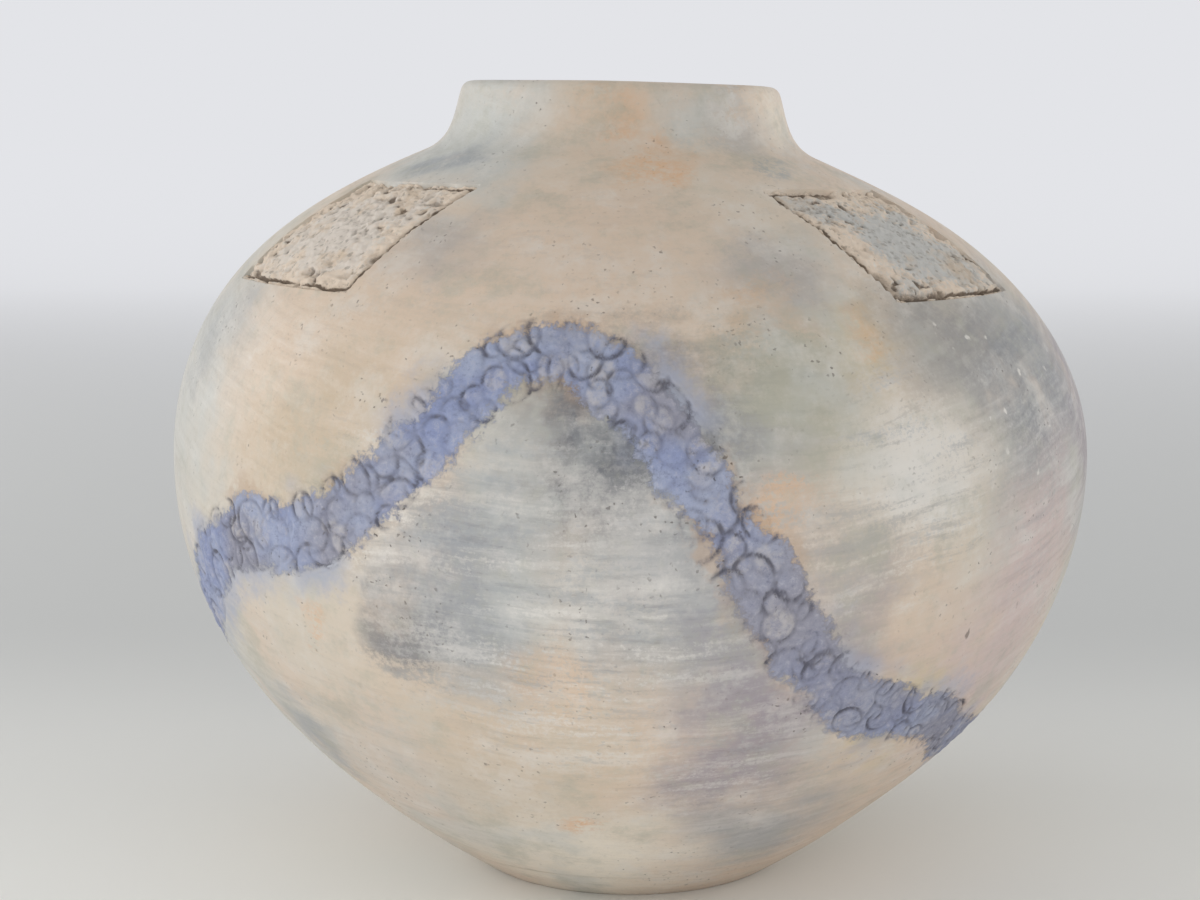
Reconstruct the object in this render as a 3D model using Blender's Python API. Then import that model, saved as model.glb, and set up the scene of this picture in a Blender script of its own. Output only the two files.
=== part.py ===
"""Hand-built ceramic vase: a globe-shaped pot with a short collar, in metres, +Z up.

The wall stands on a flat disc and is built up in three sections that overlap at lapped seams.
Four textured panels are let into the shoulder, and a band of blue slip lies in a shallow channel
that winds round the belly. Everything is placed in wall coordinates: an azimuth, a distance along
the outer wall from the foot, and a depth under the outer face.
"""

import math

import bmesh
import bpy
import numpy as np

# Turned outline: radii, and the heights of its three stretches
FOOT_RADIUS = 0.0363
BELLY_RADIUS = 0.105
CREASE_RADIUS = 0.0447
RIM_RADIUS = 0.0364
BELLY_HEIGHT = 0.096
SHOULDER_RISE = 0.069
COLLAR_RISE = 0.0138

# Outline curves: slopes at the ends, and how far each end pulls the curve its way
FOOT_SLOPE = math.radians(33)
CREASE_SLOPE = math.radians(23)
RIM_LEAN = math.radians(18)
FOOT_PULL = 0.0458
BELLY_PULL_DOWN = 0.0418
BELLY_PULL_UP = 0.0408
SHOULDER_PULL = 0.0247
COLLAR_FOOT_PULL = 0.0068
COLLAR_RIM_PULL = 0.0056

# Clay thicknesses
WALL = 0.007
RIM_WALL = 0.005
FLOOR_THICKNESS = 0.008

# Seams between the wall sections
SEAM_LAP = 0.004
JOINT_GAP = 0.0003

# Hand-made lean of the upper half
NECK_SHIFT = 0.0021
NECK_TILT = math.radians(1.3)
LEAN_SPAN = 0.069

# Shoulder panels
PANEL_AZIMUTH = math.radians(51.6)
PANEL_SPLAY = math.radians(4.5)
PANEL_WIDTH = 0.0435
PANEL_TAPER = 0.0025
PANEL_LENGTH = 0.036
PANEL_BELOW_CREASE = 0.0165
PANEL_THICKNESS = 0.0026
PANEL_RECESS = 0.0005
PANEL_TEAR = 0.0009

# Slip band: a wandering line round the belly, summed from waves
# given as waves per turn, share of the whole, and azimuth of one crest in degrees
BAND_WAVES = ((3, 1.0, -5), (2, 0.7, -40), (7, 0.35, -5))
BAND_HEIGHT = 0.1
BAND_WIDTH = 0.0155
BAND_THICKNESS = 0.001
BAND_BELOW_PANELS = 0.003

# Waves of a torn panel's face, in radians across and along one panel
TEAR_RIDGES = ((17, 5), (-4, 19))
TEAR_LUMPS = (9, -11)

# Clay colours, in linear red, green and blue, and roughness
CREAM_CLAY = (0.56, 0.47, 0.36)
PEACH_CLAY = (0.55, 0.44, 0.34)
GREY_CLAY = (0.45, 0.42, 0.36)
TORN_CLAY = (0.38, 0.33, 0.27)
BLUE_SLIP = (0.22, 0.27, 0.50)
BURNISHED = 0.5
TORN = 0.9
MATT = 0.7

# Mesh fineness
TURN_STEPS = 48
CURVE_STEPS = 60
WALL_STEP = 0.014
COLLAR_STEP = 0.0045
LIP_STEPS = 4
PANEL_STEPS = 8
BAND_STATIONS = 128
CUTTER_HEADROOM = 0.002
SAME_SPOT = 1e-6
SHARP_EDGE = math.radians(35)


def clear_scene():
    for old in list(bpy.data.objects):
        bpy.data.objects.remove(old)


def clay(name, colour, roughness):
    material = bpy.data.materials.new(name)
    material.use_nodes = True
    shader = material.node_tree.nodes["Principled BSDF"]
    shader.inputs["Base Color"].default_value = (*colour, 1.0)
    shader.inputs["Roughness"].default_value = roughness
    shader.inputs["Metallic"].default_value = 0.0
    return material


def bezier(start, pull_out, pull_in, end):
    """Points and directions along a cubic curve given by its ends and its two inner handles."""
    p0, p1, p2, p3 = (np.array(point) for point in (start, pull_out, pull_in, end))
    t = np.linspace(0.0, 1.0, CURVE_STEPS + 1)[:, None]
    points = (1 - t) ** 3 * p0 + 3 * (1 - t) ** 2 * t * p1 + 3 * (1 - t) * t ** 2 * p2 + t ** 3 * p3
    ways = (1 - t) ** 2 * (p1 - p0) + 2 * (1 - t) * t * (p2 - p1) + t ** 2 * (p3 - p2)
    return points, ways / np.linalg.norm(ways, axis=1)[:, None]


class Wall:
    """The outer wall as a run of points from the foot to the rim, with its outward normals."""

    def __init__(self):
        crease_height = BELLY_HEIGHT + SHOULDER_RISE
        rim_height = crease_height + COLLAR_RISE
        belly = (BELLY_RADIUS, BELLY_HEIGHT)
        crease = (CREASE_RADIUS, crease_height)
        shoulder_way = np.array([-math.cos(CREASE_SLOPE), math.sin(CREASE_SLOPE)])
        rim_way = np.array([-math.sin(RIM_LEAN), math.cos(RIM_LEAN)])
        foot_way = np.array([math.cos(FOOT_SLOPE), math.sin(FOOT_SLOPE)])
        spans = [
            bezier((FOOT_RADIUS, 0.0), np.array([FOOT_RADIUS, 0.0]) + foot_way * FOOT_PULL,
                   (BELLY_RADIUS, BELLY_HEIGHT - BELLY_PULL_DOWN), belly),
            bezier(belly, (BELLY_RADIUS, BELLY_HEIGHT + BELLY_PULL_UP),
                   np.array(crease) - shoulder_way * SHOULDER_PULL, crease),
            bezier(crease, np.array(crease) + shoulder_way * COLLAR_FOOT_PULL,
                   np.array([RIM_RADIUS, rim_height]) - rim_way * COLLAR_RIM_PULL,
                   (RIM_RADIUS, rim_height)),
        ]
        points = np.concatenate([span[0][min(i, 1):] for i, span in enumerate(spans)])
        ways = np.concatenate([span[1][min(i, 1):] for i, span in enumerate(spans)])
        steps = np.linalg.norm(np.diff(points, axis=0), axis=1)
        self.along = np.concatenate([[0.0], np.cumsum(steps)])
        self.radius, self.height = points.T
        self.normal_r, self.normal_z = ways[:, 1], -ways[:, 0]
        self.belly = self.along[CURVE_STEPS]
        self.crease = self.along[2 * CURVE_STEPS]
        self.rim = self.along[-1]

    def along_at(self, height):
        """Distance along the wall where the outer face reaches a height."""
        return float(np.interp(height, self.height, self.along))

    def inner_along_at(self, height):
        """Distance along the wall where the inner face of the lower half reaches a height."""
        lower = slice(0, CURVE_STEPS + 1)
        inner_height = self.height[lower] - WALL * self.normal_z[lower]
        return float(np.interp(height, inner_height, self.along[lower]))

    def thickness(self, along):
        return float(np.interp(along, [self.crease, self.rim], [WALL, RIM_WALL]))

    def section_point(self, along, depth):
        """Radius and height of a point at a depth under the outer face."""
        radius = np.interp(along, self.along, self.radius)
        height = np.interp(along, self.along, self.height)
        normal_r = np.interp(along, self.along, self.normal_r)
        normal_z = np.interp(along, self.along, self.normal_z)
        length = math.hypot(normal_r, normal_z)
        return radius - depth * normal_r / length, height - depth * normal_z / length

    def place(self, azimuth, along, depth):
        """World point; azimuth 0 faces -Y and grows towards +X."""
        radius, height = self.section_point(along, depth)
        return lean(radius * math.sin(azimuth), -radius * math.cos(azimuth), height)


def lean(x, y, z):
    """Shift the neck to one side and dip its other side, easing in from the belly upward."""
    t = min(max((z - BELLY_HEIGHT) / LEAN_SPAN, 0.0), 1.0)
    eased = t * t * (3.0 - 2.0 * t)
    return x - NECK_SHIFT * eased, y, z - math.tan(NECK_TILT) * x * eased


def run(start, end, step):
    """Evenly spaced values from start to end, both included."""
    count = max(2, math.ceil(abs(end - start) / step))
    return list(np.linspace(start, end, count + 1))


def seam_above(wall, seam):
    """Top edge of the section below a seam: the inner half stands up behind the next section."""
    middle = wall.thickness(seam) / 2 + JOINT_GAP / 2
    low = seam - JOINT_GAP / 2
    return [(low, middle), (low + SEAM_LAP, middle)]


def seam_below(wall, seam):
    """Bottom edge of the section above a seam: the outer half hangs in front of the lip."""
    middle = wall.thickness(seam) / 2 - JOINT_GAP / 2
    high = seam + JOINT_GAP / 2
    return [(high + SEAM_LAP, middle), (high, middle)]


def turn(name, outline, material, closed=True):
    """Turn an outline of (radius, height) points about Z, lean it and make it an object."""
    mesh = bmesh.new()
    verts = [mesh.verts.new((radius, 0.0, height)) for radius, height in outline]
    edges = [mesh.edges.new(pair) for pair in zip(verts, verts[1:])]
    if closed:
        edges.append(mesh.edges.new((verts[-1], verts[0])))
    bmesh.ops.spin(mesh, geom=verts + edges, cent=(0, 0, 0), axis=(0, 0, 1),
                   angle=2 * math.pi, steps=TURN_STEPS, use_merge=True)
    for vert in mesh.verts:
        vert.co = lean(*vert.co)
    return finish(name, mesh, material)


def finish(name, mesh, material):
    """Close a bmesh into a named object with one smooth-shaded material."""
    bmesh.ops.remove_doubles(mesh, verts=mesh.verts, dist=SAME_SPOT)
    bmesh.ops.recalc_face_normals(mesh, faces=mesh.faces)
    data = bpy.data.meshes.new(name)
    mesh.to_mesh(data)
    mesh.free()
    data.shade_smooth()
    data.set_sharp_from_angle(angle=SHARP_EDGE)
    piece = bpy.data.objects.new(name, data)
    bpy.context.scene.collection.objects.link(piece)
    if material:
        data.materials.append(material)
    return piece


def base_disc(wall, material):
    """Flat standing floor, flared at its edge, that the wall is built up on."""
    edge = run(0.0, wall.along_at(FLOOR_THICKNESS), WALL_STEP)
    outline = [(0.0, 0.0)] + [wall.section_point(s, 0.0) for s in edge]
    return turn("base_disc", outline + [(0.0, FLOOR_THICKNESS)], material, closed=False)


def lower_bowl(wall, material):
    """Wall from the base disc, which it stands on, to the belly."""
    standing = FLOOR_THICKNESS + JOINT_GAP
    outer = [(s, 0.0) for s in run(wall.along_at(standing), wall.belly - JOINT_GAP / 2, WALL_STEP)]
    lip = seam_above(wall, wall.belly)
    inner = [(s, WALL) for s in run(lip[-1][0], wall.inner_along_at(standing), WALL_STEP)]
    outline = [wall.section_point(*spot) for spot in outer + lip + inner]
    return turn("lower_bowl", outline + [(outline[-1][0], standing)], material)


def upper_dome(wall, material):
    """Wall from the belly to the crease under the collar."""
    lip = seam_above(wall, wall.crease)
    hang = seam_below(wall, wall.belly)
    outer = [(s, 0.0) for s in run(hang[-1][0], lip[0][0], WALL_STEP)]
    inner = [(s, wall.thickness(s)) for s in run(lip[-1][0], hang[0][0], WALL_STEP)]
    outline = [wall.section_point(*spot) for spot in outer + lip + inner + hang]
    return turn("upper_dome", outline, material)


def neck_collar(wall, material):
    """Short collar that lands on the shoulder seam and ends in a rounded lip."""
    low = wall.crease + JOINT_GAP / 2
    outer = [wall.section_point(s, 0.0) for s in run(low, wall.rim, COLLAR_STEP)]
    inner = [wall.section_point(s, wall.thickness(s)) for s in run(wall.rim, low + SEAM_LAP, COLLAR_STEP)]
    foot = [wall.section_point(*spot) for spot in seam_below(wall, wall.crease)]
    centre_r, centre_z = wall.section_point(wall.rim, RIM_WALL / 2)
    lip = []
    for step in range(1, LIP_STEPS):
        angle = math.pi * step / LIP_STEPS + RIM_LEAN
        lip.append((centre_r + RIM_WALL / 2 * math.cos(angle), centre_z + RIM_WALL / 2 * math.sin(angle)))
    return turn("neck_collar", outer + lip + inner + foot, material)


def slab(steps_along, steps_across, place, top, bottom, ring=False):
    """Closed slab: a unit grid at two depths, each corner put in the world by place(x, y, depth)."""
    mesh = bmesh.new()
    bmesh.ops.create_grid(mesh, x_segments=steps_along, y_segments=steps_across, size=0.5)
    upper = list(mesh.verts)
    raised = bmesh.ops.extrude_face_region(mesh, geom=mesh.faces[:])
    lower = [item for item in raised["geom"] if isinstance(item, bmesh.types.BMVert)]
    if ring:
        ends = [face for face in mesh.faces if all(abs(abs(v.co.x) - 0.5) < SAME_SPOT for v in face.verts)]
        bmesh.ops.delete(mesh, geom=ends, context="FACES_ONLY")
    for verts, depth in ((upper, top), (lower, bottom)):
        for vert in verts:
            vert.co = place(vert.co.x, vert.co.y, depth)
    return mesh


def panel_foot(wall):
    """Lower edge of the panels, as a distance along the wall."""
    return wall.crease - PANEL_BELOW_CREASE - PANEL_LENGTH


def panel_mesh(wall, side, facing, grow, top, bottom, rough):
    """Panel bent onto the shoulder; side and facing (-1 or 1) pick one of its four places."""
    foot = panel_foot(wall)

    def place(x, y, depth):
        rise = y + 0.5
        along = foot + PANEL_LENGTH * rise + grow * 2 * y
        width = PANEL_WIDTH + PANEL_TAPER * (0.5 - rise) * 2 + 2 * grow
        turned = PANEL_AZIMUTH + PANEL_SPLAY * (0.5 - rise)
        centre = turned if facing > 0 else math.pi - turned
        radius, _ = wall.section_point(along, 0.0)
        torn = rough * torn_relief(x + side, y + facing) if depth == top else 0.0
        return wall.place(side * centre + math.asin(x * width / radius), along, depth + torn)

    return slab(PANEL_STEPS, PANEL_STEPS, place, top, bottom)


def torn_relief(x, y):
    """Uneven dips, from 0 to 1, of a torn clay face measured in panel widths."""
    first, second, lumps = (across * x + along * y for across, along in (*TEAR_RIDGES, TEAR_LUMPS))
    return (2.0 + math.sin(first) * math.cos(second) + math.sin(lumps)) / 4.0


def shoulder_panels(wall, dome, material):
    """Four textured panels, each with a pocket cut for it in the dome."""
    for facing, end in ((1, "front"), (-1, "rear")):
        for side, hand in ((-1, "left"), (1, "right")):
            name = f"shoulder_panel_{end}_{hand}"
            bottom = PANEL_RECESS + PANEL_THICKNESS
            mesh = panel_mesh(wall, side, facing, 0.0, PANEL_RECESS, bottom, PANEL_TEAR)
            finish(name, mesh, material)
            pocket = panel_mesh(wall, side, facing, JOINT_GAP, -CUTTER_HEADROOM, bottom + JOINT_GAP, 0.0)
            cut(dome, finish(name + "_pocket", pocket, None))


def band_route(wall, azimuth):
    """Distance along the wall, and heading, of the band's centre line at an azimuth."""
    everywhere = np.linspace(-math.pi, math.pi, BAND_STATIONS + 1)
    highest = max(band_wave(everywhere)[0])
    lowest = min(band_wave(everywhere)[0])
    scale = BAND_HEIGHT / (highest - lowest)
    level, slope = band_wave(azimuth)
    crest = panel_foot(wall) - BAND_BELOW_PANELS - BAND_WIDTH / 2
    return crest - (highest - level) * scale, math.atan2(slope * scale, BELLY_RADIUS)


def band_wave(azimuth):
    """Sum of the band's waves at an azimuth, and its slope."""
    level = 0.0
    slope = 0.0
    for count, share, crest in BAND_WAVES:
        angle = count * (azimuth - math.radians(crest))
        level = level + share * np.cos(angle)
        slope = slope - share * count * np.sin(angle)
    return level, slope


def band_mesh(wall, grow, top, bottom):
    """Closed ribbon along the band's route, wider than the band by grow on each side."""

    def place(x, y, depth):
        azimuth = 2 * math.pi * x
        along, heading = band_route(wall, azimuth)
        offset = y * (BAND_WIDTH + 2 * grow)
        aside = azimuth - offset * math.sin(heading) / BELLY_RADIUS
        return wall.place(aside, along + offset * math.cos(heading), depth)

    return slab(BAND_STATIONS, 2, place, top, bottom, ring=True)


def slip_band(wall, sections, material):
    """Closed ribbon of slip, and the channel for it in each wall section that it crosses."""
    finish("slip_band", band_mesh(wall, 0.0, 0.0, BAND_THICKNESS), material)
    deep = BAND_THICKNESS + JOINT_GAP
    channel = finish("slip_band_channel", band_mesh(wall, JOINT_GAP, -CUTTER_HEADROOM, deep), None)
    for section in sections:
        cut(section, channel)


def cut(target, cutter):
    cutter.hide_render = True
    cutter.display_type = "WIRE"
    difference = target.modifiers.new(cutter.name, "BOOLEAN")
    difference.operation = "DIFFERENCE"
    difference.solver = "EXACT"
    difference.object = cutter


def main():
    clear_scene()
    wall = Wall()
    cream = clay("smoked_cream_clay", CREAM_CLAY, BURNISHED)
    peach = clay("smoked_peach_clay", PEACH_CLAY, BURNISHED)
    grey = clay("smoked_grey_clay", GREY_CLAY, BURNISHED)
    torn = clay("torn_panel_clay", TORN_CLAY, TORN)
    blue = clay("blue_slip", BLUE_SLIP, MATT)
    base_disc(wall, cream)
    bowl = lower_bowl(wall, cream)
    dome = upper_dome(wall, peach)
    neck_collar(wall, grey)
    shoulder_panels(wall, dome, torn)
    slip_band(wall, [bowl, dome], blue)


main()
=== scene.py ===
# %% [markdown]
# # A smoke-fired vase, dressed for the studio
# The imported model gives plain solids: a base disc, two wall sections, a collar, four shoulder
# panels and a ribbon of slip. This lesson turns each of them into a finished surface. The frame is
# loaded first and is never moved, so every new piece is made where its solid already stands.

# %% Load the frame
import math

import bmesh
import bpy
import numpy as np
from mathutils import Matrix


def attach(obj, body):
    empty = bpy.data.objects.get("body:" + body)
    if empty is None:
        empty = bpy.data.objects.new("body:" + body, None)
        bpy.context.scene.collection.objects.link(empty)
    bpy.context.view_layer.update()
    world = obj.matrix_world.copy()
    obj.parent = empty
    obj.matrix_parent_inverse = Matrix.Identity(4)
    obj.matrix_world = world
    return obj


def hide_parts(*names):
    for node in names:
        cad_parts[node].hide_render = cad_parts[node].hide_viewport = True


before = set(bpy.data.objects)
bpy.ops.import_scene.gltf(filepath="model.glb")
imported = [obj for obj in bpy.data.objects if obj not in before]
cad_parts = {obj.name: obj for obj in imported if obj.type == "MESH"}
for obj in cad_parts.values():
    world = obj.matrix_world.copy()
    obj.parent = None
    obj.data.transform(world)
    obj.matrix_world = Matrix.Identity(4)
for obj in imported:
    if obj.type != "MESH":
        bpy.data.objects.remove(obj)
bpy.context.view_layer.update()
MM = 0.001
FULL_TURN = 2 * math.pi
print("frame nodes:", sorted(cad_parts))

# %% [markdown]
# ## The turned outline
# A potter's profile is one flowing line from foot to rim. Three cubic curves meet smoothly at the
# belly and at the crease under the collar. Measuring along that line, and inward from it, gives
# wall coordinates in which stamps, panels and dents are easy to place on any part of the pot.

# %% Outline of the pot
FOOT_RADIUS, BELLY_RADIUS, CREASE_RADIUS, RIM_RADIUS = 0.0363, 0.105, 0.0447, 0.0364
BELLY_HEIGHT, SHOULDER_RISE, COLLAR_RISE = 0.096, 0.069, 0.0138
FOOT_SLOPE, CREASE_SLOPE, RIM_LEAN = np.radians([33, 23, 18])
FOOT_PULL, BELLY_PULL_DOWN, BELLY_PULL_UP = 0.0458, 0.0418, 0.0408
SHOULDER_PULL, COLLAR_FOOT_PULL, COLLAR_RIM_PULL = 0.0247, 0.0068, 0.0056
WALL, RIM_WALL, FLOOR_THICKNESS = 0.007, 0.005, 0.008
CURVE_STEPS = 120
RIM_EXTENSION = 0.01


def heading(angle):
    return np.array([math.cos(angle), math.sin(angle)])


def bezier(p0, p1, p2, p3):
    """Points along a cubic curve, and the directions in which it runs."""
    t = np.linspace(0.0, 1.0, CURVE_STEPS + 1)[:, None]
    points = (1 - t) ** 3 * p0 + 3 * (1 - t) ** 2 * t * p1 + 3 * (1 - t) * t ** 2 * p2 + t ** 3 * p3
    ways = (1 - t) ** 2 * (p1 - p0) + 2 * (1 - t) * t * (p2 - p1) + t ** 2 * (p3 - p2)
    return points, ways / np.linalg.norm(ways, axis=1)[:, None]


foot = np.array([FOOT_RADIUS, 0.0])
belly = np.array([BELLY_RADIUS, BELLY_HEIGHT])
crease = np.array([CREASE_RADIUS, BELLY_HEIGHT + SHOULDER_RISE])
rim = np.array([RIM_RADIUS, crease[1] + COLLAR_RISE])
shoulder_way = heading(math.pi - CREASE_SLOPE)
rim_way = heading(math.pi / 2 + RIM_LEAN)
up = np.array([0.0, 1.0])
spans = [
    bezier(foot, foot + FOOT_PULL * heading(FOOT_SLOPE), belly - BELLY_PULL_DOWN * up, belly),
    bezier(belly, belly + BELLY_PULL_UP * up, crease - SHOULDER_PULL * shoulder_way, crease),
    bezier(crease, crease + COLLAR_FOOT_PULL * shoulder_way, rim - COLLAR_RIM_PULL * rim_way, rim),
]
line = np.concatenate([spans[0][0], spans[1][0][1:], spans[2][0][1:], [rim + RIM_EXTENSION * rim_way]])
ways = np.concatenate([spans[0][1], spans[1][1][1:], spans[2][1][1:], [rim_way]])
line_along = np.concatenate([[0.0], np.cumsum(np.linalg.norm(np.diff(line, axis=0), axis=1))])
BELLY, CREASE, RIM = line_along[[CURVE_STEPS, 2 * CURVE_STEPS, 3 * CURVE_STEPS]]
print(f"along the wall: belly {BELLY:.4f}, crease {CREASE:.4f}, rim {RIM:.4f} m")

# %% [markdown]
# ## Wall coordinates
# `on_wall` turns an azimuth, a distance along the outline and a depth into a point. A hand-built
# pot isn't a perfect solid of revolution: this one leans its neck to the left, its right shoulder
# sags a little, and its wall swells and dips by a few tenths of a millimetre.

# %% Placing a point on the wall
NECK_SHIFT, NECK_TILT, LEAN_SPAN = 0.0021, math.radians(1.3), 0.069
SWELL, SWELL_START, SWELL_FULL = 0.0003, 0.008, 0.03


def ease(value, start, end):
    t = np.clip((value - start) / (end - start), 0.0, 1.0)
    return t * t * (3.0 - 2.0 * t)


def section(along, depth):
    """Radius and height at a distance along the outline and a depth under it."""
    radius = np.interp(along, line_along, line[:, 0])
    height = np.interp(along, line_along, line[:, 1])
    way_r = np.interp(along, line_along, ways[:, 0])
    way_z = np.interp(along, line_along, ways[:, 1])
    length = np.hypot(way_r, way_z)
    return radius - depth * way_z / length, height + depth * way_r / length


def swell(azimuth, along):
    """Gentle unevenness of a hand-built wall: two and five lumps round the pot, none at the foot."""
    waves = np.sin(2 * azimuth + 60 * along) * np.sin(38 * along + 0.7)
    waves = waves + 0.5 * np.sin(5 * azimuth - 75 * along + 1.1)
    return SWELL * waves * ease(along, SWELL_START, SWELL_FULL)


def lean(points):
    eased = ease(points[:, 2], BELLY_HEIGHT, BELLY_HEIGHT + LEAN_SPAN)
    tilt = math.tan(NECK_TILT) * points[:, 0] * eased
    return points - np.stack([NECK_SHIFT * eased, np.zeros_like(eased), tilt], axis=1)


def on_wall(azimuth, along, depth):
    """World points; azimuth 0 faces the camera and grows to the right."""
    radius, height = section(along, depth - swell(azimuth, along))
    return lean(np.stack([radius * np.sin(azimuth), -radius * np.cos(azimuth), height], axis=1))


print(f"the neck leans {NECK_SHIFT / MM:.1f} mm to the left")

# %% [markdown]
# ## Repeatable unevenness
# Ragged edges and torn clay need noise that is the same on every run. A grid of seeded random
# numbers, blended smoothly, is enough. The grid wraps round in its first direction, so that a
# pattern which runs round the pot meets itself without a step.

# %% Value noise
NOISE_CELLS = 64
NOISE_MIDDLE = NOISE_CELLS // 2


def patchy(u, v, cells_u, seed):
    """Smooth noise from -1 to 1; u and v count in cells, and u repeats after cells_u."""
    grid = np.random.default_rng(seed).uniform(-1.0, 1.0, (cells_u, NOISE_CELLS))
    iu = np.floor(u).astype(int)
    iv = np.floor(v).astype(int)
    fu = ease(u - iu, 0.0, 1.0)
    fv = ease(v - iv, 0.0, 1.0)
    here = iu % cells_u
    ahead = (iu + 1) % cells_u
    row = iv % NOISE_CELLS
    next_row = (iv + 1) % NOISE_CELLS
    low = grid[here, row] * (1 - fu) + grid[ahead, row] * fu
    high = grid[here, next_row] * (1 - fu) + grid[ahead, next_row] * fu
    return low * (1 - fv) + high * fv


print(f"noise repeats after {NOISE_CELLS} cells")

# %% [markdown]
# ## Where the slip band runs
# The blue slip is a band of coloured clay that wanders round the belly. Its route is a sum of three
# waves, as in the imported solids. For any point of the wall, `band_spot` finds how far along the
# band it lies, and how far to one side: it steps along the band until the point is abreast.

# %% Route of the slip band
BAND_WAVES = ((3, 1.0, -5), (2, 0.7, -40), (7, 0.35, -5))
BAND_HEIGHT, BAND_WIDTH, BAND_BELOW_PANELS = 0.1, 0.0155, 0.003
PANEL_LENGTH, PANEL_BELOW_CREASE = 0.036, 0.0165
PANEL_FOOT = CREASE - PANEL_BELOW_CREASE - PANEL_LENGTH
TRIP_POINTS = 4001
STEPS_TO_ABREAST = 5


def band_wave(azimuth):
    level = np.zeros_like(azimuth)
    slope = np.zeros_like(azimuth)
    for count, share, crest_degrees in BAND_WAVES:
        angle = count * (azimuth - math.radians(crest_degrees))
        level = level + share * np.cos(angle)
        slope = slope - share * count * np.sin(angle)
    return level, slope


round_trip = np.linspace(-math.pi, math.pi, TRIP_POINTS)
trip_level, trip_slope = band_wave(round_trip)
BAND_SCALE = BAND_HEIGHT / (trip_level.max() - trip_level.min())
BAND_CREST = PANEL_FOOT - BAND_BELOW_PANELS - BAND_WIDTH / 2


def band_route(azimuth):
    """Distance along the wall, and heading, of the band's middle line."""
    level, slope = band_wave(azimuth)
    return BAND_CREST - (trip_level.max() - level) * BAND_SCALE, np.arctan2(slope * BAND_SCALE, BELLY_RADIUS)


trip_length = np.hypot(BELLY_RADIUS, trip_slope * BAND_SCALE) * (round_trip[1] - round_trip[0])
trip_length = np.concatenate([[0.0], np.cumsum((trip_length[1:] + trip_length[:-1]) / 2)])
BAND_RUN = trip_length[-1]


def band_travel(azimuth):
    """Length of band from the back of the pot to an azimuth."""
    wrapped = (azimuth + math.pi) % FULL_TURN - math.pi
    return np.interp(wrapped, round_trip, trip_length)


def band_spot(azimuth, along):
    """Travel along the band and distance to its left, for points of the wall."""
    middle = azimuth.copy()
    for _ in range(STEPS_TO_ABREAST):
        level, way = band_route(middle)
        ahead = (azimuth - middle) * BELLY_RADIUS * np.cos(way) + (along - level) * np.sin(way)
        middle = middle + ahead * np.cos(way) / BELLY_RADIUS
    level, way = band_route(middle)
    aside = (along - level) * np.cos(way) - (azimuth - middle) * BELLY_RADIUS * np.sin(way)
    return band_travel(middle), aside


print(f"slip band: {BAND_RUN:.3f} m long, crest at {BAND_CREST:.4f} m along the wall")

# %% [markdown]
# ## Ring stamps
# While the slip was soft, the end of a small tube was pressed into it again and again, in three
# loose rows. Each stamp is a ring-shaped groove that bites deeper on one side than on the other,
# and some stamps stray over the edge of the slip into bare clay.

# %% Stamps
STAMP_PITCH = 0.0052
STAMP_RADIUS = 0.0035
STAMP_ROWS = ((-0.33, 0.0), (0.0, 0.5), (0.33, 0.2))
STAMP_JITTER, STAMP_STRAY = 0.35, 0.0011
STAMP_SIZES, STAMP_SQUASH, STAMP_PRESSURE = (0.6, 1.35), (0.75, 1.25), (0.5, 1.0)
STAMP_REACH = 2.0
LIGHT_SIDE = 0.4
GROOVE_WIDTH = 0.0006
RUBBED_MARGIN = 0.0009
stamp_count = round(BAND_RUN / STAMP_PITCH)
stamp_dice = np.random.default_rng(11)
stamps = []
for number in range(stamp_count):
    for row, stagger in STAMP_ROWS:
        centre = (number + stagger + stamp_dice.uniform(-STAMP_JITTER, STAMP_JITTER)) * STAMP_PITCH
        aside = row * BAND_WIDTH + stamp_dice.normal(0.0, STAMP_STRAY)
        radius = STAMP_RADIUS * stamp_dice.uniform(*STAMP_SIZES)
        squash = stamp_dice.uniform(*STAMP_SQUASH)
        press_angle = stamp_dice.uniform(0.0, FULL_TURN)
        pressure = stamp_dice.uniform(*STAMP_PRESSURE)
        bareness = stamp_dice.uniform(-1.0, 1.0)
        stamps.append((centre, aside, radius, squash, press_angle, pressure, bareness))


def stamp_fields(travel, aside):
    """Groove and bareness, each from 0 to 1, at points of the band."""
    groove = np.zeros_like(travel)
    bare = np.zeros_like(travel)
    for centre, middle, radius, squash, press_angle, pressure, bareness in stamps:
        ahead = (travel - centre + BAND_RUN / 2) % BAND_RUN - BAND_RUN / 2
        near = np.flatnonzero(np.abs(ahead) < STAMP_REACH * radius)
        ahead = ahead[near]
        sideways = (aside[near] - middle) * squash
        distance = np.hypot(ahead, sideways)
        deep_side = 0.5 + 0.5 * np.cos(np.arctan2(sideways, ahead) - press_angle)
        bite = pressure * (LIGHT_SIDE + (1.0 - LIGHT_SIDE) * deep_side)
        ring = bite * np.exp(-(((distance - radius) / GROOVE_WIDTH) ** 2))
        groove[near] = np.maximum(groove[near], ring)
        inner = ease(radius - distance, 0.0, RUBBED_MARGIN) * max(bareness, 0.0)
        bare[near] = np.maximum(bare[near], inner)
    return groove, bare


print("ring stamps:", len(stamps))

# %% [markdown]
# ## The edge of the slip
# The slip was brushed on, so its painted edge wanders by a few millimetres and ends in powdery
# specks. The solid ribbon is a little wider than the paint: its margin shows bare clay, and goes
# down into the wall along a wavering line that can't be told from the rest of the wall.

# %% Painted edge and ribbon edge
SLIP_HALF_WIDTH, SLIP_WANDER, SLIP_RAGGED = 0.0063, 0.0022, 0.0014
RIBBON_REACH = 0.0112
RIBBON_EDGE, RIBBON_RAGGED, RIBBON_CRUMBS = 0.0089, 0.0005, 0.0002
EDGE_CELLS = (44, 150, 520)
OTHER_SIDE = 31.0


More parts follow.
